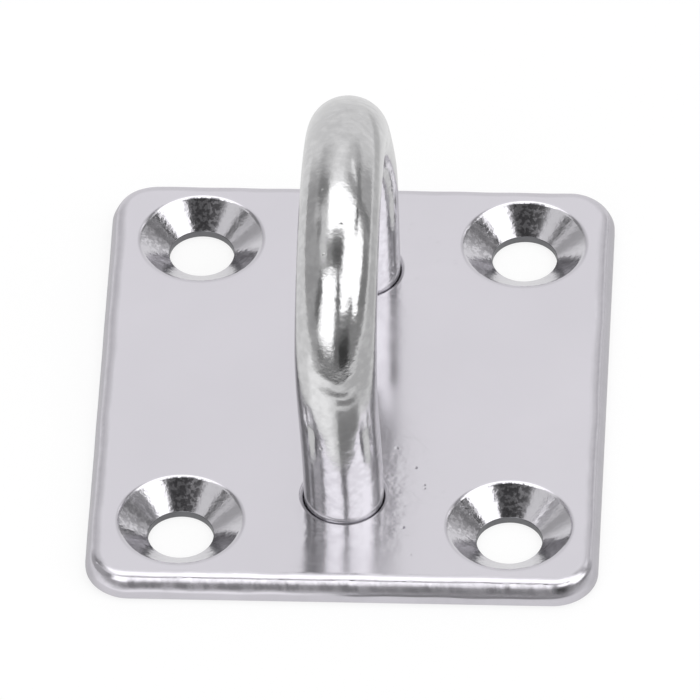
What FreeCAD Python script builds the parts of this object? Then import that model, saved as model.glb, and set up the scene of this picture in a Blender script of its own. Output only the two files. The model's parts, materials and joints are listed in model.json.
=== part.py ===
import FreeCAD, Part
import math
import os

# Screw-on hammock hook: a rectangular steel plate with a fixed loop of round rod.
# Millimetres. The origin is the centre of the plate's back face, which lies on the
# wall, beam or ceiling. Z points out of the plate, Y along its long side and along
# the loop, X across it.

V = FreeCAD.Vector

# Plate
plate_width = 40.5
plate_length = 46.3
plate_thickness = 2.3
corner_radius = 4.0
front_edge_round = 1.5
back_edge_break = 0.5

# Screw holes, countersunk from the front
screw_from_side = 7.25
screw_from_end = 6.9
screw_hole_d = 5.2
countersink_d = 10.0
countersink_angle = 110.0
countersink_rim_break = 0.2

# Loop of round rod, measured inside
loop_inner_width = 19.8
loop_clear_height = 18.8
rod_d = 6.35
rod_end_chamfer = 0.5

# Leg holes, with a broken front rim that leaves a seam round each leg
leg_clearance = 0.05
leg_rim_break = 0.45

# Weld in a chamfer round each leg at the back, ground flush with the plate
weld_width = 1.3
weld_depth = 1.3

# Heights and radii that follow from the sizes above
rod_r = rod_d / 2
leg_hole_r = rod_r + leg_clearance
bend_r = loop_inner_width / 2 + rod_r
bend_centre_z = plate_thickness + loop_clear_height + rod_r - bend_r
leg_places = (-bend_r, bend_r)
screw_x = plate_width / 2 - screw_from_side
screw_y = plate_length / 2 - screw_from_end
screw_places = [(x, y) for x in (-screw_x, screw_x) for y in (-screw_y, screw_y)]


def plate_outline():
    """Rectangle with rounded corners, as four sides and four arcs."""
    half_x = plate_width / 2
    half_y = plate_length / 2
    corners = ((1, 1), (-1, 1), (-1, -1), (1, -1))
    points = []
    for index, (side_x, side_y) in enumerate(corners):
        centre = V(side_x * (half_x - corner_radius), side_y * (half_y - corner_radius), 0)
        turns = [math.radians(90 * index + step) for step in (0, 45, 90)]
        points.append([centre + V(math.cos(a), math.sin(a), 0) * corner_radius for a in turns])
    edges = []
    for arc, following in zip(points, points[1:] + points[:1]):
        edges.append(Part.Arc(*arc).toShape())
        edges.append(Part.LineSegment(arc[2], following[0]).toShape())
    return Part.Wire(edges)


def perimeter_edges(solid, height):
    """Edges that lie flat at the height given."""
    flat = []
    for edge in solid.Edges:
        box = edge.BoundBox
        if abs(box.ZMin - height) < 1e-6 and abs(box.ZMax - height) < 1e-6:
            flat.append(edge)
    return flat


def rim_edges(solid, height, radius):
    """Round hole rims of the radius given, at the height given."""
    return [edge for edge in perimeter_edges(solid, height)
            if isinstance(edge.Curve, Part.Circle) and abs(edge.Curve.Radius - radius) < 1e-6]


def turned(section, x, y):
    """Solid of revolution about a Z line, from (radius, height) points."""
    points = [V(radius, 0, height) for radius, height in section]
    face = Part.Face(Part.makePolygon(points + points[:1]))
    solid = face.revolve(V(0, 0, 0), V(0, 0, 1), 360)
    solid.translate(V(x, y, 0))
    return solid


def screw_hole(x, y):
    """Straight hole with a cone that opens to the countersink at the front."""
    hole_r = screw_hole_d / 2
    mouth_r = countersink_d / 2
    slope = math.tan(math.radians(countersink_angle / 2))
    cone_depth = (mouth_r - hole_r) / slope
    cone_foot = plate_thickness - cone_depth
    section = [(0, -plate_thickness), (hole_r, -plate_thickness), (hole_r, cone_foot),
               (mouth_r, plate_thickness), (mouth_r, 2 * plate_thickness), (0, 2 * plate_thickness)]
    return turned(section, x, y)


def leg_hole(y):
    """Straight hole with a chamfer at the back that the weld fills."""
    section = [(0, 0), (leg_hole_r + weld_width, 0), (leg_hole_r, weld_depth),
               (leg_hole_r, 2 * plate_thickness), (0, 2 * plate_thickness)]
    return turned(section, 0, y)


def make_base_plate():
    plate = Part.Face(plate_outline()).extrude(V(0, 0, plate_thickness))
    plate = plate.makeFillet(front_edge_round, perimeter_edges(plate, plate_thickness))
    plate = plate.makeChamfer(back_edge_break, perimeter_edges(plate, 0))
    cutters = [screw_hole(x, y) for x, y in screw_places]
    cutters += [leg_hole(y) for y in leg_places]
    plate = plate.cut(cutters)
    leg_rims = rim_edges(plate, plate_thickness, leg_hole_r)
    plate = plate.makeChamfer(leg_rim_break, leg_rims)
    mouths = rim_edges(plate, plate_thickness, countersink_d / 2)
    return plate.makeChamfer(countersink_rim_break, mouths)


def make_eye_rod():
    """Rod bent to a U, with both legs down through the plate to its back face."""
    front, rear = leg_places
    path = Part.Wire([
        Part.LineSegment(V(0, front, 0), V(0, front, bend_centre_z)).toShape(),
        Part.Arc(V(0, front, bend_centre_z), V(0, 0, bend_centre_z + bend_r),
                 V(0, rear, bend_centre_z)).toShape(),
        Part.LineSegment(V(0, rear, bend_centre_z), V(0, rear, 0)).toShape()])
    section = Part.Face(Part.Wire(Part.makeCircle(rod_r, V(0, front, 0), V(0, 0, 1))))
    rod = path.makePipe(section)
    return rod.makeChamfer(rod_end_chamfer, perimeter_edges(rod, 0))


def make_root_weld(y):
    """Ring of weld metal between the leg, its chamfered end and the plate's chamfer."""
    section = [(rod_r - rod_end_chamfer, 0), (leg_hole_r + weld_width, 0), (leg_hole_r, weld_depth),
               (rod_r, weld_depth), (rod_r, rod_end_chamfer)]
    return turned(section, 0, y)


def single_solid(shape):
    """The one solid in a shape, checked for being closed and sound."""
    assert len(shape.Solids) == 1
    solid = shape.Solids[0]
    assert solid.isValid()
    return solid


parts = {
    "base_plate": make_base_plate(),
    "eye_rod": make_eye_rod(),
    "root_weld_front": make_root_weld(leg_places[0]),
    "root_weld_rear": make_root_weld(leg_places[1]),
}

os.makedirs("parts", exist_ok=True)
for name, shape in parts.items():
    solid = single_solid(shape)
    solid.exportStep(f"parts/{name}.step")
    print(name, round(solid.Volume, 2), "mm3")
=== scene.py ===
import json
import math

import bpy
from mathutils import Matrix, Vector
from mathutils.geometry import tessellate_polygon


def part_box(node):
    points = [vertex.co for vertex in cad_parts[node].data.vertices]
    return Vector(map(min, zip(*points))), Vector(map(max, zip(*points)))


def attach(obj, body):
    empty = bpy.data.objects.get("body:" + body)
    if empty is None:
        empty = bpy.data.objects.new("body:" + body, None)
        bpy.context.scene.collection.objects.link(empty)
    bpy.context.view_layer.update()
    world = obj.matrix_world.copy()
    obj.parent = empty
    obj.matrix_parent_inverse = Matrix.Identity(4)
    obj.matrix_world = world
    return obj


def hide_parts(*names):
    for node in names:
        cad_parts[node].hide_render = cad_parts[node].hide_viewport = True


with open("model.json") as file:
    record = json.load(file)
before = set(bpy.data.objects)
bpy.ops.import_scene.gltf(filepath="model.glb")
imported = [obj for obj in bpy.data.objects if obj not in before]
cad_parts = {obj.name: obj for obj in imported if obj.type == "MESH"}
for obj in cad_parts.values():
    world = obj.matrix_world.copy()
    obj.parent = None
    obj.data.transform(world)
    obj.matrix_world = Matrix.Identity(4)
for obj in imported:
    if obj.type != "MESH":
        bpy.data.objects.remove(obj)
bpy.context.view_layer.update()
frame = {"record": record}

MM = 0.001

# Sizes read from the frame
plate_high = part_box("base_plate")[1]
rod_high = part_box("eye_rod")[1]
weld_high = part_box("root_weld_rear")[1]
mounts = {mount["name"]: mount for mount in frame["record"]["mounts"]}
screw_dims = mounts["screw_holes"]["dims"]
half_x = plate_high.x
half_y = plate_high.y
plate_top = plate_high.z
rod_r = rod_high.x
bend_r = rod_high.y - rod_r
bend_z = rod_high.z - rod_r - bend_r
screw_x = screw_dims["spacing_x_mm"] / 2 * MM
screw_y = screw_dims["spacing_y_mm"] / 2 * MM
screw_hole_r = screw_dims["hole_r_mm"] * MM
weld_outer_r = weld_high.x
weld_depth = weld_high.z

# Sizes of the plate's edges and holes that the frame does not list
corner_r = 3.6 * MM
outline_shift = Vector((-0.11, -0.09, 0)) * MM
edge_swell = 0.05
back_round = 0.5 * MM
countersink_r = 5.0 * MM
countersink_angle = 110
countersink_rim_round = 0.85 * MM
rim_face_depth = 0.06 * MM
cone_foot = plate_top - (countersink_r - screw_hole_r) / math.tan(math.radians(countersink_angle / 2))
cone_foot_round = 0.12 * MM
leg_hole_r = rod_r + 0.02 * MM
leg_rim_round = 0.38 * MM
hidden_round = 0.05 * MM

# Arcs of the rolled front edge from the top face down: degrees of turn and radius in millimetres
front_edge_arcs = ((26, 1.5), (13, 0.15), (23, 1.2), (7, 5.0), (21, 0.9))

# How the hand-bent rod departs from the drawn one
bend_widening = 0.022
bend_flattening = 0.03
bend_section_start = 25
front_leg_x = -0.20 * MM
front_lean = -0.46 * MM
rear_lean = -0.10 * MM
rear_lean_lateness = 26
rod_end_chamfer = 0.5 * MM

# Wrinkles of the bending tool, in degrees round the bend: place, sway, its shift and share of the height
tool_wrinkles = ((11.8, 0.3, 0.5, -1), (14.0, 0.5, 1.4, 1), (16.6, 0.4, 2.6, -1), (19.2, 0.5, 4.0, 0.7))
tool_mark_depth = 0.026 * MM
tool_mark_width = 1.15
tool_mark_bow = 9
tool_mark_bow_middle = 0.1
tool_mark_waves = 9
tool_mark_middle = 0.12
tool_mark_reach = 0.6

# How finely the meshes follow their curves
corner_steps = 20
side_steps = 48
edge_arc_steps = 6
hole_arc_steps = 8
weld_arc_steps = 3
hole_steps = 128
weld_steps = 96
leg_steps = 36
bend_steps = 320
rod_steps = 144

# Tones of the steel
PLATE_DARK = (0.665, 0.646, 0.694)
PLATE_LIGHT = (0.745, 0.723, 0.776)
# The dark cone tone is painted reflection: the near-black that the rear walls of the countersinks mirror.
CONE_PAINTED_REFLECTION = (0.13, 0.127, 0.137)
CONE_LIGHT = (0.76, 0.745, 0.785)
ROD_DARK = (0.63, 0.628, 0.636)
ROD_LIGHT = (0.735, 0.733, 0.741)
BACK_DARK = (0.58, 0.58, 0.60)
BACK_LIGHT = (0.64, 0.64, 0.66)
# The bore tones are painted shade: far darker than steel, for the shade deep inside each screw hole.
BORE_PAINTED_SHADE_DARK = (0.16, 0.16, 0.17)
BORE_PAINTED_SHADE_LIGHT = (0.26, 0.26, 0.27)
WELD_STRAW = (0.62, 0.56, 0.47)
WELD_GREY = (0.60, 0.59, 0.58)

# How the camera and mirrors see the floor
floor_shadow_share = 0.25
floor_glow = 0.80
floor_mirrored_glow = 0.62
floor_reach = 3.0
floor_height = -0.00002

# Where the camera stands, in millimetres, and how it is turned
camera_place = Vector((57.93, -936.54, 894.53)) * MM
camera_target = Vector((-0.2, -0.7, 6.3)) * MM
camera_roll = -1.434
camera_lens = 835.96


# Cross-sections with rounded corners

def unit(vector):
    return vector.normalized()


def rounded_section(points, radii, steps):
    """(position, direction of travel) pairs along a path of straight runs joined by arcs."""
    path = [Vector(point) for point in points]
    result = [(path[0], unit(path[1] - path[0]))]
    for before, corner, after, radius in zip(path, path[1:], path[2:], radii):
        into = unit(corner - before)
        out = unit(after - corner)
        turn = into.angle_signed(out)
        reach = radius * math.tan(abs(turn) / 2)
        start = corner - into * reach
        side = Vector((-into.y, into.x)) if turn < 0 else Vector((into.y, -into.x))
        centre = start + side * radius
        for step in range(steps + 1):
            share = Matrix.Rotation(-turn * step / steps, 2)
            result.append((centre - share @ side * radius, share @ into))
    result.append((path[-1], unit(path[-1] - path[-2])))
    return result


# Meshes with exact normals

class Sheet:
    """Points, faces and normals of one piece, put together ring by ring."""

    def __init__(self):
        self.points = []
        self.normals = []
        self.faces = []
        self.slots = []

    def ring(self, points, normals):
        first = len(self.points)
        self.points += points
        self.normals += normals
        return list(range(first, len(self.points)))

    def join(self, lower, upper, slot=0):
        count = len(lower)
        for index in range(count):
            following = (index + 1) % count
            self.faces.append((lower[index], lower[following], upper[following], upper[index]))
            self.slots.append(slot)

    def spread(self, corners):
        """Twice the area of a level triangle, above zero where its corners run round it leftward."""
        a, b, c = (self.points[index] for index in corners)
        return (b - a).cross(c - a).z

    def fill(self, rings, upward, slot=0):
        """A level face inside the first ring, with the other rings as its holes."""
        loops = [[self.points[index] for index in ring] for ring in rings]
        flat = [index for ring in rings for index in ring]
        triangles = [[flat[index] for index in triangle] for triangle in tessellate_polygon(loops)]
        if (sum(self.spread(corners) for corners in triangles) > 0) != upward:
            triangles = [corners[::-1] for corners in triangles]
        self.faces += [tuple(corners) for corners in triangles]
        self.slots += [slot] * len(triangles)

    def build(self, name, materials):
        mesh = bpy.data.meshes.new(name)
        mesh.from_pydata(self.points, [], self.faces)
        for material in materials:
            mesh.materials.append(material)
        mesh.polygons.foreach_set("material_index", self.slots)
        mesh.polygons.foreach_set("use_smooth", [True] * len(mesh.polygons))
        mesh.update()
        mesh.normals_split_custom_set_from_vertices(self.normals)
        piece = bpy.data.objects.new(name, mesh)
        bpy.context.scene.collection.objects.link(piece)
        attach(piece, "root")
        return piece


def circle_directions(count):
    angles = [2 * math.pi * index / count for index in range(count)]
    return [Vector((math.cos(a), math.sin(a), 0)) for a in angles]


# Base plate

def outline_points():
    """(anchor, outward direction) pairs round the plate: each point is anchor + direction * reach."""
    centres = [Vector((sx * (half_x - corner_r), sy * (half_y - corner_r), 0))
               for sx, sy in ((1, 1), (-1, 1), (-1, -1), (1, -1))]
    result = []
    for index, centre in enumerate(centres):
        following = centres[(index + 1) % 4]
        for step in range(corner_steps + 1):
            angle = math.radians(90 * (index + step / corner_steps))
            result.append((centre, Vector((math.cos(angle), math.sin(angle), 0))))
        turned = math.radians(90 * (index + 1))
        side = Vector((math.cos(turned), math.sin(turned), 0))
        for step in range(1, side_steps):
            result.append((centre.lerp(following, step / side_steps), side))
    return result


def edge_section():
    """Outline of the edge from the top face down: the arcs, the wall and the broken back edge."""
    turns = [math.radians(turn) for turn, _ in front_edge_arcs]
    rounds = [radius * MM for _, radius in front_edge_arcs]
    reaches = [radius * math.tan(turn / 2) for radius, turn in zip(rounds, turns)]
    corners = [Vector((0, 0))]
    dip = 0
    for turn, before, after in zip(turns, reaches, reaches[1:]):
        dip += turn
        corners.append(corners[-1] + Vector((math.cos(dip), -math.sin(dip))) * (before + after))
    shift = Vector((-corners[-1].x, plate_top))
    corners = [corner + shift for corner in corners]
    path = [corners[0] - Vector((2 * reaches[0], 0))] + corners + [(0, 0), (-back_round, 0)]
    return rounded_section(path, rounds + [back_round], edge_arc_steps)[1:-1]


def swell(place):
    """How much fuller or flatter the hand-ground edge is at one place on the outline, near 1."""
    x = place.x / MM
    y = place.y / MM
    slow = math.sin(0.62 * x + 0.9) * math.sin(0.53 * y + 0.4)
    quick = math.sin(1.37 * x + 1.1 * y)
    return 1 + edge_swell * (slow + quick / 2)


def edge_rings(sheet):
    """The rolled front edge, the wall and the broken back edge, from the top face down."""
    rings = []
    for (reach, height), (along, rise) in edge_section():
        points = []
        normals = []
        for anchor, direction in outline_points():
            share = swell(anchor + direction * corner_r) if height > plate_top / 3 else 1
            drop = (plate_top - height) * share
            outward = direction * (corner_r + reach * share)
            points.append(anchor + outline_shift + outward + Vector((0, 0, plate_top - drop)))
            normals.append(direction * -rise + Vector((0, 0, along)))
        rings.append(sheet.ring(points, normals))
    for upper, lower in zip(rings, rings[1:]):
        sheet.join(lower, upper, 1)
    return rings


def hole_rings(sheet, x, y, section, count, bands):
    """The wall of a round hole, from the top face down; bands has the lowest height of each material."""
    centre = Vector((x, y, 0))
    directions = circle_directions(count)
    rings = []
    for (radius, height), (along, rise) in section:
        points = [centre + direction * radius + Vector((0, 0, height)) for direction in directions]
        normals = [direction * rise + Vector((0, 0, -along)) for direction in directions]
        rings.append(sheet.ring(points, normals))
    for upper, lower, ((_, height), _) in zip(rings, rings[1:], section):
        sheet.join(upper, lower, next(slot for lowest, slot in bands if height > lowest))
    return rings


def screw_hole_section():
    return rounded_section(
        [(countersink_r + countersink_rim_round, plate_top), (countersink_r, plate_top),
         (screw_hole_r, cone_foot), (screw_hole_r, 0), (screw_hole_r + 4 * cone_foot_round, 0)],
        [countersink_rim_round, cone_foot_round, cone_foot_round], hole_arc_steps)[1:-1]


def leg_hole_section():
    return rounded_section(
        [(leg_hole_r + 1.5 * leg_rim_round, plate_top), (leg_hole_r, plate_top), (leg_hole_r, weld_depth),
         (weld_outer_r, 0), (weld_outer_r + 4 * hidden_round, 0)],
        [leg_rim_round, hidden_round, hidden_round], hole_arc_steps)[1:-1]


def make_plate():
    sheet = Sheet()
    loops = [edge_rings(sheet)]
    bands = ((plate_top - rim_face_depth, 0), (cone_foot + cone_foot_round / 4, 2), (-1, 4))
    for x in (-screw_x, screw_x):
        for y in (-screw_y, screw_y):
            loops.append(hole_rings(sheet, x, y, screw_hole_section(), hole_steps, bands))
    for x, y in ((front_leg_x, -bend_r), (0, bend_r)):
        loops.append(hole_rings(sheet, x, y, leg_hole_section(), hole_steps, ((-1, 1),)))
    sheet.fill([rings[0] for rings in loops], True, 0)
    sheet.fill([rings[-1] for rings in loops], False, 3)
    materials = [plate_face_steel(), plate_edge_steel(), countersink_steel()]
    materials += [plate_back_steel(), bore_steel_painted_shade()]
    piece = sheet.build("plate", materials)
    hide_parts("base_plate")


# Loop

def smooth_share(value):
    value = min(max(value, 0.0), 1.0)
    return value * value * (3 - 2 * value)


def rod_stations():
    """(centre, outward direction, degrees round the bend) from the front leg's foot to the rear leg's."""
    stations = []
    straight = bend_z - rod_end_chamfer
    heights = [rod_end_chamfer + straight * step / leg_steps for step in range(leg_steps)]
    for height in heights:
        stations.append((Vector((0, -bend_r, height)), Vector((0, -1, 0)), 0.0))
    for step in range(bend_steps + 1):
        angle = math.pi * step / bend_steps
        outward = Vector((0, -math.cos(angle), math.sin(angle)))
        stations.append((Vector((0, 0, bend_z)) + outward * bend_r, outward, math.degrees(angle)))
    for height in reversed(heights):
        stations.append((Vector((0, bend_r, height)), Vector((0, 1, 0)), 180.0))
    return stations


def lean(centre):
    """Sideways place of the hand-bent loop: the front leg stands off the middle and leans out as it rises."""
    share = (centre.y + bend_r) / (2 * bend_r)
    to_rear = share ** rear_lean_lateness
    height = smooth_share((centre.z - plate_top) / (bend_z + bend_r / 2 - plate_top))
    return front_leg_x * (1 - share) + height * (front_lean * (1 - to_rear) + rear_lean * to_rear)


def tool_marks(turned, across):
    """Height of the small wrinkles that the bending tool leaves outside, near both ends of the bend."""
    height = 0.0
    from_start = min(turned, 180 - turned)
    bow = tool_mark_bow * (across - tool_mark_bow_middle) ** 2
    for place, sway, shift, share in tool_wrinkles:
        offset = from_start - place - bow - sway * math.sin(tool_mark_waves * across + shift)
        height += share * math.exp(-(offset / tool_mark_width) ** 2)
    return tool_mark_depth * height * math.exp(-((across - tool_mark_middle) / tool_mark_reach) ** 4)


def rod_surface(stations):
    """Rows of points round the rod, one row for each station."""
    rows = []
    for centre, outward, turned in stations:
        bent = smooth_share(min(turned, 180 - turned) / bend_section_start)
        half_width = rod_r * (1 + bend_widening * bent * math.cos(math.radians(turned / 2)) ** 2)
        half_depth = rod_r * (1 - bend_flattening * bent)
        row = []
        for index in range(rod_steps):
            angle = 2 * math.pi * index / rod_steps
            across = math.sin(angle)
            facing = math.cos(angle)
            reach = half_depth * facing
            if facing > 0:
                reach += facing * tool_marks(turned, across)
            row.append(centre + Vector((half_width * across + lean(centre), 0, 0)) + outward * reach)
        rows.append(row)
    return rows


def surface_normals(rows):
    """Outward normals of a tube of rows, from each point's neighbours along and round it."""
    result = []
    last = len(rows) - 1
    for place, row in enumerate(rows):
        before = rows[max(place - 1, 0)]
        after = rows[min(place + 1, last)]
        count = len(row)
        normals = []
        for index in range(count):
            along = after[index] - before[index]
            around = row[(index + 1) % count] - row[index - 1]
            normals.append(around.cross(along).normalized())
        result.append(normals)
    return result


def rod_foot(sheet, rim, leg):
    """The chamfered and flat end of one leg."""
    foot = Vector((front_leg_x if leg < 0 else 0, leg * bend_r, 0))
    share = 1 - rod_end_chamfer / rod_r
    rim_points = [sheet.points[index] for index in rim]
    end_points = [foot.lerp(Vector((point.x, point.y, 0)), share) for point in rim_points]
    slant = [((point - foot).normalized() - Vector((0, 0, 1))).normalized() for point in end_points]
    down = [Vector((0, 0, -1))] * len(rim)
    upper = sheet.ring(rim_points, slant)
    lower = sheet.ring(end_points, slant)
    cap = sheet.ring(end_points, down)
    if leg > 0:
        sheet.join(upper, lower, 1)
        sheet.faces.append(tuple(cap))
    else:
        sheet.join(lower, upper, 1)
        sheet.faces.append(tuple(reversed(cap)))
    sheet.slots.append(1)


def make_loop():
    sheet = Sheet()
    rows = rod_surface(rod_stations())
    rings = [sheet.ring(row, normals) for row, normals in zip(rows, surface_normals(rows))]
    for lower, upper in zip(rings, rings[1:]):
        sheet.join(lower, upper)
    rod_foot(sheet, rings[0], -1)
    rod_foot(sheet, rings[-1], 1)
    piece = sheet.build("loop", [rod_steel(), plate_back_steel()])
    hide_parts("eye_rod")


# Welds

def make_weld(name, x, y):
    """The ring of ground weld metal in the chamfer between one leg and the plate's back."""
    sheet = Sheet()
    section = rounded_section(
        [(rod_r - rod_end_chamfer, 0.0), (weld_outer_r, 0.0), (leg_hole_r, weld_depth),
         (rod_r, weld_depth), (rod_r, rod_end_chamfer), (rod_r - rod_end_chamfer, 0.0)],
        [hidden_round, hidden_round / 2, hidden_round / 4, hidden_round], weld_arc_steps)
    hole_rings(sheet, x, y, section, weld_steps, ((-1, 0),))
    piece = sheet.build(name + "_ground", [weld_steel()])
    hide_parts(name)


# Materials

def add_node(tree, kind, inputs=(), **settings):
    node = tree.nodes.new(kind)
    for name, value in settings.items():
        setattr(node, name, value)
    for key, value in dict(inputs).items():
        if isinstance(value, bpy.types.NodeSocket):
            tree.links.new(value, node.inputs[key])
        else:
            node.inputs[key].default_value = value
    return node


def math_node(tree, operation, first, second=0.0):
    return add_node(tree, "ShaderNodeMath", {0: first, 1: second}, operation=operation).outputs[0]


def smooth_ramp(tree, value, low, high, from_value=0.0, to_value=1.0):
    """Runs smoothly between two values while the input goes from low to high."""
    ends = {"Value": value, "From Min": low, "From Max": high, "To Min": from_value, "To Max": to_value}
    return add_node(tree, "ShaderNodeMapRange", ends, interpolation_type="SMOOTHSTEP").outputs[0]


def edge_mask(tree, value, low, high, soft):
    """1 where the input lies between two values and 0 elsewhere, with soft borders."""
    rising = smooth_ramp(tree, value, low - soft / 2, low + soft / 2)
    falling = smooth_ramp(tree, value, high - soft / 2, high + soft / 2, 1.0, 0.0)
    return math_node(tree, "MULTIPLY", rising, falling)


def object_place(tree, scale=(1, 1, 1), turn=0.0):
    """Coordinates on the object, stretched by scale after a turn about the plate's axis."""
    coordinates = add_node(tree, "ShaderNodeTexCoord").outputs["Object"]
    rotation = (0, 0, math.radians(turn))
    turned = add_node(tree, "ShaderNodeMapping", {"Vector": coordinates, "Rotation": rotation}).outputs[0]
    return add_node(tree, "ShaderNodeMapping", {"Vector": turned, "Scale": scale}).outputs[0]


def noise(tree, place, per_metre, detail=2.0, roughness=0.5):
    """Cloudy pattern with about per_metre features to the metre, from 0 to 1."""
    inputs = {"Vector": place, "Scale": per_metre, "Detail": detail, "Roughness": roughness}
    return add_node(tree, "ShaderNodeTexNoise", inputs).outputs["Fac"]


def scratches(tree, turn, per_metre, share):
    """Long thin marks that run one way, strongest where a slow cloudy pattern lets them show."""
    lines = noise(tree, object_place(tree, (0.03, 1, 1), turn), per_metre, 1.0)
    thin = smooth_ramp(tree, lines, 0.5 + share, 0.56 + share)
    where = smooth_ramp(tree, noise(tree, object_place(tree), 160 + turn), 0.45, 0.6)
    return math_node(tree, "MULTIPLY", thin, where)


def pits(tree, per_metre, size):
    """Small round dents, 1 in the middle of a dent and 0 between them."""
    cells = add_node(tree, "ShaderNodeTexVoronoi", {"Vector": object_place(tree), "Scale": per_metre})
    chosen = add_node(tree, "ShaderNodeSeparateColor", {"Color": cells.outputs["Color"]}).outputs[0]
    depth = smooth_ramp(tree, cells.outputs["Distance"], 0.0, size, 1.0, 0.0)
    return math_node(tree, "MULTIPLY", depth, math_node(tree, "GREATER_THAN", chosen, 0.72))


def weighted_sum(tree, parts):
    total = None
    for value, weight in parts:
        part = math_node(tree, "MULTIPLY", value, weight)
        total = part if total is None else math_node(tree, "ADD", total, part)
    return total


def start_material(name):
    material = bpy.data.materials.new(name)
    material.use_nodes = True
    material.node_tree.nodes.clear()
    return material, material.node_tree


def finish_metal(tree, tones, mottle, roughness, relief_mm):
    """Joins the colour, roughness and relief of a metal to its shader."""
    mix = add_node(tree, "ShaderNodeMix", data_type="RGBA")
    tree.links.new(mottle, mix.inputs[0])
    mix.inputs[6].default_value = (*tones[0], 1)
    mix.inputs[7].default_value = (*tones[1], 1)
    bump = add_node(tree, "ShaderNodeBump", {"Strength": 1.0, "Distance": MM, "Height": relief_mm})
    shader = add_node(tree, "ShaderNodeBsdfPrincipled", {
        "Base Color": mix.outputs[2], "Metallic": 1.0, "Roughness": roughness, "Normal": bump.outputs[0]})
    output = add_node(tree, "ShaderNodeOutputMaterial")
    tree.links.new(shader.outputs[0], output.inputs["Surface"])


def near_leg_mask(tree, near, far):
    """1 on the plate close to either leg and 0 farther off."""
    place = add_node(tree, "ShaderNodeSeparateXYZ", {0: object_place(tree)}).outputs
    off_y = math_node(tree, "SUBTRACT", math_node(tree, "ABSOLUTE", place[1]), bend_r)
    squares = math_node(tree, "ADD", math_node(tree, "MULTIPLY", place[0], place[0]),
                        math_node(tree, "MULTIPLY", off_y, off_y))
    return smooth_ramp(tree, math_node(tree, "SQRT", squares), near * MM, far * MM, 1.0, 0.0)


def right_side_mask(tree, near, far):
    """1 on the plate to the right of the loop and 0 to its left."""
    place = add_node(tree, "ShaderNodeSeparateXYZ", {0: object_place(tree)}).outputs
    return smooth_ramp(tree, place[0], near * MM, far * MM)


def plate_face_steel():
    material, tree = start_material("plate_face_steel")
    cloud = noise(tree, object_place(tree), 90, 3.0)
    fine = noise(tree, object_place(tree), 2600, 2.0)
    rough = noise(tree, object_place(tree), 800, 2.0)
    dimples = math_node(tree, "MULTIPLY", rough, near_leg_mask(tree, 3.5, 10))
    marks = weighted_sum(tree, [(scratches(tree, 12, 9000, 0.14), 1.0),
                                (scratches(tree, 97, 7000, 0.16), 1.0),
                                (scratches(tree, 51, 8000, 0.17), 1.0)])
    dents = pits(tree, 420, 0.12)
    near_leg = near_leg_mask(tree, 5.5, 11)
    beside_leg = math_node(tree, "MULTIPLY", near_leg, right_side_mask(tree, 2.5, 4.5))
    specks = math_node(tree, "MULTIPLY", pits(tree, 1300, 0.35), beside_leg)
    relief = weighted_sum(tree, [(cloud, 0.02), (fine, 0.00025), (dimples, 0.030), (marks, -0.0003),
                                 (dents, -0.006), (specks, -0.020)])
    roughness = weighted_sum(tree, [(smooth_ramp(tree, cloud, 0.3, 0.7, 0.11, 0.17), 1.0), (marks, 0.05)])
    finish_metal(tree, (PLATE_DARK, PLATE_LIGHT), cloud, roughness, relief)
    return material


def plate_edge_steel():
    material, tree = start_material("plate_edge_steel")
    drag = noise(tree, object_place(tree, (1, 1, 0.25)), 1100, 2.0)
    wave = noise(tree, object_place(tree, (1, 1, 0.5)), 320, 2.0)
    fine = noise(tree, object_place(tree), 5000, 2.0)
    relief = weighted_sum(tree, [(wave, 0.045), (drag, 0.014), (fine, 0.0010)])
    roughness = smooth_ramp(tree, drag, 0.3, 0.7, 0.16, 0.26)
    finish_metal(tree, (PLATE_DARK, PLATE_LIGHT), wave, roughness, relief)
    return material


def place_in_screw_hole(tree):
    """Metres from the axis of the nearest screw hole, and degrees round it from its rear side."""
    place = add_node(tree, "ShaderNodeSeparateXYZ", {0: object_place(tree)}).outputs
    offsets = []
    for value, middle in ((place[0], screw_x), (place[1], screw_y)):
        axis = math_node(tree, "MULTIPLY", math_node(tree, "SIGN", value), middle)
        offsets.append(math_node(tree, "SUBTRACT", value, axis))
    squares = [math_node(tree, "MULTIPLY", offset, offset) for offset in offsets]
    radius = math_node(tree, "SQRT", math_node(tree, "ADD", *squares))
    return radius, math_node(tree, "DEGREES", math_node(tree, "ARCTAN2", *offsets))


def countersink_steel():
    material, tree = start_material("countersink_steel")
    radius, turned = place_in_screw_hole(tree)
    turns = math_node(tree, "SINE", math_node(tree, "MULTIPLY", radius, 2 * math.pi / (0.16 * MM)))
    chatter = noise(tree, object_place(tree), 1300, 2.0)
    grain = noise(tree, object_place(tree), 3000, 2.0, 0.6)
    relief = weighted_sum(tree, [(turns, 0.0001), (chatter, 0.015), (grain, 0.010)])
    roughness = smooth_ramp(tree, grain, 0.3, 0.7, 0.08, 0.18)
    # Painted reflection: mottled darkening of each countersink's rear wall, and a weaker darkening of a
    # sector at its left, stand in for the dark surroundings that these walls mirror. Chatter adds a little
    # random tone.
    spots = smooth_ramp(tree, noise(tree, object_place(tree), 3000, 3.0), 0.41, 0.55)
    rear = math_node(tree, "MULTIPLY", spots, edge_mask(tree, turned, -16, 20, 10))
    side = math_node(tree, "MULTIPLY", spots, edge_mask(tree, turned, -96, -46, 12))
    painted_reflection_and_chatter = weighted_sum(tree, [(rear, -0.80), (side, -0.3), (chatter, -0.08)])
    bright_tone_share = math_node(tree, "ADD", 1.0, painted_reflection_and_chatter)
    finish_metal(tree, (CONE_PAINTED_REFLECTION, CONE_LIGHT), bright_tone_share, roughness, relief)
    return material


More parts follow.
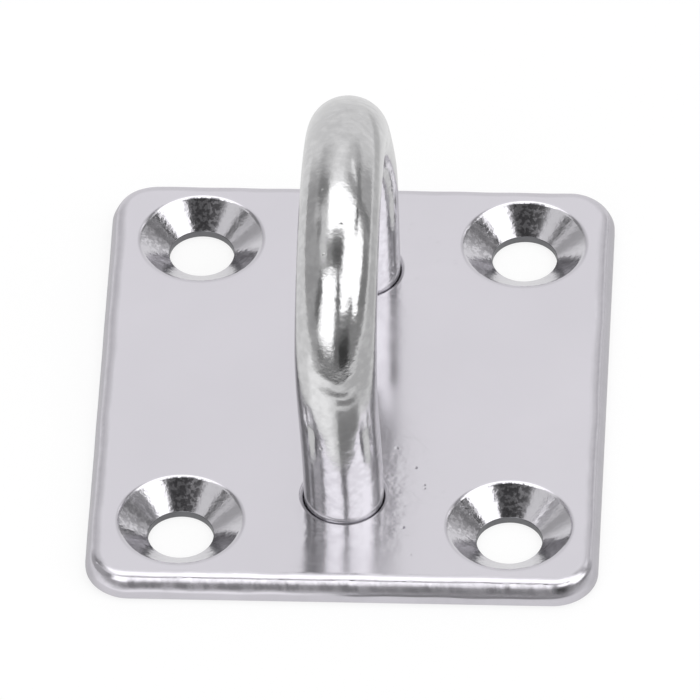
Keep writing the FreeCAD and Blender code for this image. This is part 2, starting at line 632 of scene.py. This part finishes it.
def plate_back_steel():
    material, tree = start_material("plate_back_steel")
    grain = noise(tree, object_place(tree, (0.02, 1, 1), 4), 6000, 3.0)
    cloud = noise(tree, object_place(tree), 120, 3.0)
    relief = weighted_sum(tree, [(grain, 0.002), (cloud, 0.01)])
    roughness = smooth_ramp(tree, grain, 0.3, 0.7, 0.24, 0.38)
    finish_metal(tree, (BACK_DARK, BACK_LIGHT), cloud, roughness, relief)
    return material


# The bore under each countersink: the drill rings in the relief are real, and its near-black colour is
# painted shade of the deep hole.
def bore_steel_painted_shade():
    material, tree = start_material("bore_steel_painted_shade")
    rings = noise(tree, object_place(tree, (0.05, 0.05, 1)), 9000, 2.0)
    cloud = noise(tree, object_place(tree), 1400, 2.0)
    relief = weighted_sum(tree, [(rings, 0.004), (cloud, 0.01)])
    roughness = smooth_ramp(tree, cloud, 0.3, 0.7, 0.3, 0.45)
    finish_metal(tree, (BORE_PAINTED_SHADE_DARK, BORE_PAINTED_SHADE_LIGHT), cloud, roughness, relief)
    return material


def rod_steel():
    material, tree = start_material("rod_steel")
    cloud = noise(tree, object_place(tree), 240, 2.0)
    speckle = noise(tree, object_place(tree), 1400, 3.0)
    ripple = noise(tree, object_place(tree, (1, 0.6, 0.6)), 700, 2.0)
    grain = noise(tree, object_place(tree), 1600, 2.0)
    fine = noise(tree, object_place(tree), 4200, 2.0)
    marks = scratches(tree, 80, 8000, 0.13)
    dents = pits(tree, 700, 0.16)
    relief = weighted_sum(tree, [(cloud, 0.05), (ripple, 0.012), (grain, 0.012), (fine, 0.006),
                                 (marks, -0.0005), (dents, -0.018)])
    roughness = smooth_ramp(tree, cloud, 0.3, 0.7, 0.11, 0.19)
    tone = smooth_ramp(tree, weighted_sum(tree, [(cloud, 0.5), (speckle, 0.5)]), 0.38, 0.62)
    finish_metal(tree, (ROD_DARK, ROD_LIGHT), tone, roughness, relief)
    return material


def weld_steel():
    material, tree = start_material("weld_steel")
    cloud = noise(tree, object_place(tree), 500, 3.0)
    grain = noise(tree, object_place(tree, (0.03, 1, 1), 30), 7000, 2.0)
    relief = weighted_sum(tree, [(cloud, 0.02), (grain, 0.002)])
    roughness = smooth_ramp(tree, grain, 0.3, 0.7, 0.26, 0.42)
    finish_metal(tree, (WELD_STRAW, WELD_GREY), cloud, roughness, relief)
    return material


# Floor

def box_mask(tree, across, along, soft):
    """1 inside a rectangle of the floor and 0 outside it, with a soft border."""
    place = add_node(tree, "ShaderNodeSeparateXYZ", {0: object_place(tree)}).outputs
    masks = [edge_mask(tree, value, low * MM, high * MM, soft * MM)
             for value, (low, high) in ((place[0], across), (place[1], along))]
    return math_node(tree, "MULTIPLY", *masks)


def wedge_mask(tree, turns, reach, soft, far_soft=4):
    """1 in a wedge of the floor that opens to the front from the front leg, and 0 outside it."""
    place = add_node(tree, "ShaderNodeSeparateXYZ", {0: object_place(tree)}).outputs
    ahead = math_node(tree, "SUBTRACT", -bend_r - rod_r, place[1])
    turn = math_node(tree, "DEGREES", math_node(tree, "ARCTAN2", place[0], ahead))
    squares = math_node(tree, "ADD", math_node(tree, "MULTIPLY", place[0], place[0]),
                        math_node(tree, "MULTIPLY", ahead, ahead))
    distance = math_node(tree, "SQRT", squares)
    return math_node(tree, "MULTIPLY", edge_mask(tree, turn, *turns, soft),
                     edge_mask(tree, distance, reach[0] * MM, reach[1] * MM, far_soft * MM))


def towards(tree, value, mask, level):
    """Moves a value to a level where a mask is 1."""
    step = math_node(tree, "SUBTRACT", level, value)
    return math_node(tree, "ADD", value, math_node(tree, "MULTIPLY", mask, step))


def mirrored_floor(tree):
    """How bright the steel sees the floor, zone by zone: painted shade and painted light that only mirrors
    see; a later zone covers an earlier one.
    """
    glow = floor_mirrored_glow
    for mask, level in (
            (wedge_mask(tree, (-64, 30), (160, 4000), 14), 0.32),
            (wedge_mask(tree, (-74, -14), (3, 150), 16), 0.86),
            (wedge_mask(tree, (0, 64), (8.0, 46), 12, 1.2), 0.07),
            (box_mask(tree, (30, 180), (-120, 120), 14), 0.40),
            (box_mask(tree, (-24, 24), (-25.0, -20), 1.0), 0.62),
            (box_mask(tree, (-26, -18), (-22, 26), 3.0), 0.44),
            (box_mask(tree, (18, 26), (-22, 26), 3.0), 0.44)):
        glow = towards(tree, glow, mask, level)
    return glow


def grey_paper(tree, tone):
    """A matt surface of one grey tone."""
    colour = add_node(tree, "ShaderNodeCombineColor", {0: tone, 1: tone, 2: tone}).outputs[0]
    return add_node(tree, "ShaderNodeBsdfDiffuse", {"Color": colour}).outputs[0]


def floor_paper():
    """Pale paper: white where the camera sees it, with zones of painted shade and light that only the steel
    mirrors.
    """
    material, tree = start_material("floor_paper")
    tone = smooth_ramp(tree, noise(tree, object_place(tree), 900, 3.0), 0.2, 0.8, 0.895, 0.905)
    lit = grey_paper(tree, tone)
    shaded = grey_paper(tree, math_node(tree, "MULTIPLY", tone, floor_shadow_share))
    rays = add_node(tree, "ShaderNodeLightPath").outputs
    strength = towards(tree, floor_glow, rays["Is Glossy Ray"], mirrored_floor(tree))
    glow = add_node(tree, "ShaderNodeEmission", {"Color": (1, 1, 1, 1), "Strength": strength}).outputs[0]
    seen = add_node(tree, "ShaderNodeAddShader", {0: shaded, 1: glow}).outputs[0]
    direct = math_node(tree, "ADD", rays["Is Camera Ray"], rays["Is Glossy Ray"])
    direct = math_node(tree, "ADD", direct, rays["Is Transmission Ray"])
    direct = math_node(tree, "MINIMUM", direct, 1.0)
    above = add_node(tree, "ShaderNodeMixShader", {0: direct, 1: lit, 2: seen}).outputs[0]
    below = add_node(tree, "ShaderNodeBsdfTransparent").outputs[0]
    side = add_node(tree, "ShaderNodeNewGeometry").outputs["Backfacing"]
    both = add_node(tree, "ShaderNodeMixShader", {0: side, 1: above, 2: below}).outputs[0]
    output = add_node(tree, "ShaderNodeOutputMaterial")
    tree.links.new(both, output.inputs["Surface"])
    return material


def lay_floor():
    """A level square under the object, not part of it."""
    corners = [(x * floor_reach, y * floor_reach, floor_height)
               for x, y in ((-1, -1), (1, -1), (1, 1), (-1, 1))]
    mesh = bpy.data.meshes.new("floor")
    mesh.from_pydata(corners, [], [(0, 1, 2, 3)])
    mesh.materials.append(floor_paper())
    panel = bpy.data.objects.new("floor", mesh)
    bpy.context.scene.collection.objects.link(panel)


# Light

class Studio:
    """The light that surrounds the object, put together from soft-edged panels."""

    def __init__(self, level):
        self.world = bpy.data.worlds.new("studio")
        bpy.context.scene.world = self.world
        self.world.use_nodes = True
        self.tree = self.world.node_tree
        self.tree.nodes.clear()
        coordinates = add_node(self.tree, "ShaderNodeTexCoord").outputs["Generated"]
        parts = add_node(self.tree, "ShaderNodeSeparateXYZ", {0: coordinates}).outputs
        self.x, self.y, self.z = parts[0], parts[1], parts[2]
        to_camera = math_node(self.tree, "MULTIPLY", self.y, -1.0)
        turn = math_node(self.tree, "ARCTAN2", self.x, to_camera)
        self.azimuth = math_node(self.tree, "DEGREES", turn)
        self.elevation = math_node(self.tree, "DEGREES", math_node(self.tree, "ARCSINE", self.z))
        self.total = math_node(self.tree, "ADD", level, 0.0)

    def add(self, mask, level):
        step = math_node(self.tree, "SUBTRACT", level, self.total)
        self.total = math_node(self.tree, "ADD", self.total, math_node(self.tree, "MULTIPLY", mask, step))

    def panel(self, azimuth, elevation, level, soft=6.0):
        """Lights the sky between two azimuths and two elevations, in degrees, from the camera's side on."""
        across = edge_mask(self.tree, self.azimuth, *azimuth, soft)
        upright = edge_mask(self.tree, self.elevation, *elevation, soft)
        self.add(math_node(self.tree, "MULTIPLY", across, upright), level)

    def ceiling(self, across, along, level, slant, soft=0.12):
        """Lights part of a ceiling one unit up; slant brings its far edge nearer towards the right."""
        height = math_node(self.tree, "MAXIMUM", self.z, 0.02)
        over_x = math_node(self.tree, "DIVIDE", self.x, height)
        over_y = math_node(self.tree, "DIVIDE", self.y, height)
        over_y = math_node(self.tree, "ADD", over_y, math_node(self.tree, "MULTIPLY", over_x, slant))
        mask = math_node(self.tree, "MULTIPLY", edge_mask(self.tree, over_x, *across, soft),
                         edge_mask(self.tree, over_y, *along, soft))
        self.add(mask, level)

    def finish(self):
        rays = add_node(self.tree, "ShaderNodeLightPath")
        seen = math_node(self.tree, "SUBTRACT", 1.0, self.total)
        strength = math_node(self.tree, "ADD", self.total,
                             math_node(self.tree, "MULTIPLY", rays.outputs["Is Camera Ray"], seen))
        light = {"Color": (1, 1, 1, 1), "Strength": strength}
        background = add_node(self.tree, "ShaderNodeBackground", light)
        output = add_node(self.tree, "ShaderNodeOutputWorld")
        self.tree.links.new(background.outputs[0], output.inputs["Surface"])


def light_the_studio():
    studio = Studio(0.42)
    studio.panel((100, 170), (-6, 24), 0.62, 20)
    studio.panel((-170, -132), (-6, 24), 0.82, 20)
    studio.panel((156, 400), (-6, 40), 0.8, 26)
    studio.panel((-400, -150), (-6, 40), 0.8, 26)
    studio.panel((140, 400), (30, 62), 0.72, 26)
    studio.panel((-400, -140), (30, 62), 0.72, 26)
    studio.panel((164, 400), (34, 74), 0.93, 20)
    studio.panel((-400, -162), (34, 74), 0.93, 20)
    studio.panel((-120, -45), (-4, 62), 0.42, 10)
    studio.panel((-134, -112), (32, 56), 0.24, 8)
    studio.panel((-114, -103), (28, 42), 0.62, 5)
    studio.panel((-62, -46), (16, 50), 0.18, 8)
    studio.panel((106, 132), (-6, 45), 0.48, 10)
    studio.panel((30, 106), (0, 24), 0.28, 10)
    studio.panel((134, 165), (-6, 24), 0.82, 10)
    studio.panel((108, 114), (-6, 34), 0.24, 5)
    studio.panel((110, 138), (30, 41), 0.24, 5)
    studio.panel((100, 152), (41, 46), 1.25, 3)
    studio.ceiling((-1.0, -0.42), (-0.5, 0.34), 0.72, 0.0, 0.2)
    studio.panel((-100, -88), (38, 48), 0.18, 4)
    studio.ceiling((-0.45, 3.0), (-1.3, 0.42), 1.65, 0.12)
    studio.ceiling((-0.95, -0.02), (-2.6, -0.62), 1.65, 0.0)
    studio.panel((-46, -4), (13, 40), 1.65, 8)
    studio.panel((8, 104), (33, 50), 1.65, 6)
    studio.panel((44, 100), (22, 36), 1.65, 8)
    studio.panel((-2, 52), (20, 31), 0.24, 7)
    studio.panel((-4, 40), (2, 24), 0.16, 8)
    studio.panel((12, 34), (2, 18), 0.05, 6)
    studio.panel((2, 17), (28, 58), 0.22, 6)
    studio.ceiling((-0.52, 0.02), (-0.56, -0.18), 0.22, 0.0, 0.16)
    studio.ceiling((-0.20, 0.34), (-0.62, -0.14), 0.11, 0.0, 0.12)
    studio.ceiling((-0.34, 0.16), (0.40, 0.78), 0.95, 0.0, 0.15)
    studio.ceiling((-1.10, -0.52), (0.36, 0.64), 0.26, 0.0)
    studio.ceiling((0.35, 1.10), (0.44, 0.66), 0.28, 0.0)
    studio.ceiling((0.94, 1.22), (0.04, 0.40), 0.10, 0.0, 0.08)
    studio.panel((-44, 12), (0, 10), 0.20, 4)
    studio.panel((-46, -32), (3, 11), 0.12, 5)
    studio.finish()


# Camera

def aim_camera():
    data = bpy.data.cameras.new("camera")
    data.sensor_width = 36.0
    data.lens = camera_lens
    data.clip_start = 0.1
    data.clip_end = 20.0
    camera = bpy.data.objects.new("camera", data)
    bpy.context.scene.collection.objects.link(camera)
    roll = math.radians(camera_roll)
    back = (camera_place - camera_target).normalized()
    right = Vector((0, 0, 1)).cross(back).normalized()
    up = back.cross(right)
    rolled_right = right * math.cos(roll) + up * math.sin(roll)
    rolled_up = up * math.cos(roll) - right * math.sin(roll)
    turned = Matrix((rolled_right, rolled_up, back)).transposed().to_4x4()
    camera.matrix_world = Matrix.Translation(camera_place) @ turned
    bpy.context.scene.camera = camera


# The scene

aim_camera()
light_the_studio()
lay_floor()
make_plate()
make_loop()
make_weld("root_weld_front", front_leg_x, -bend_r)
make_weld("root_weld_rear", 0, bend_r)

bpy.context.scene.view_settings.view_transform = "Standard"
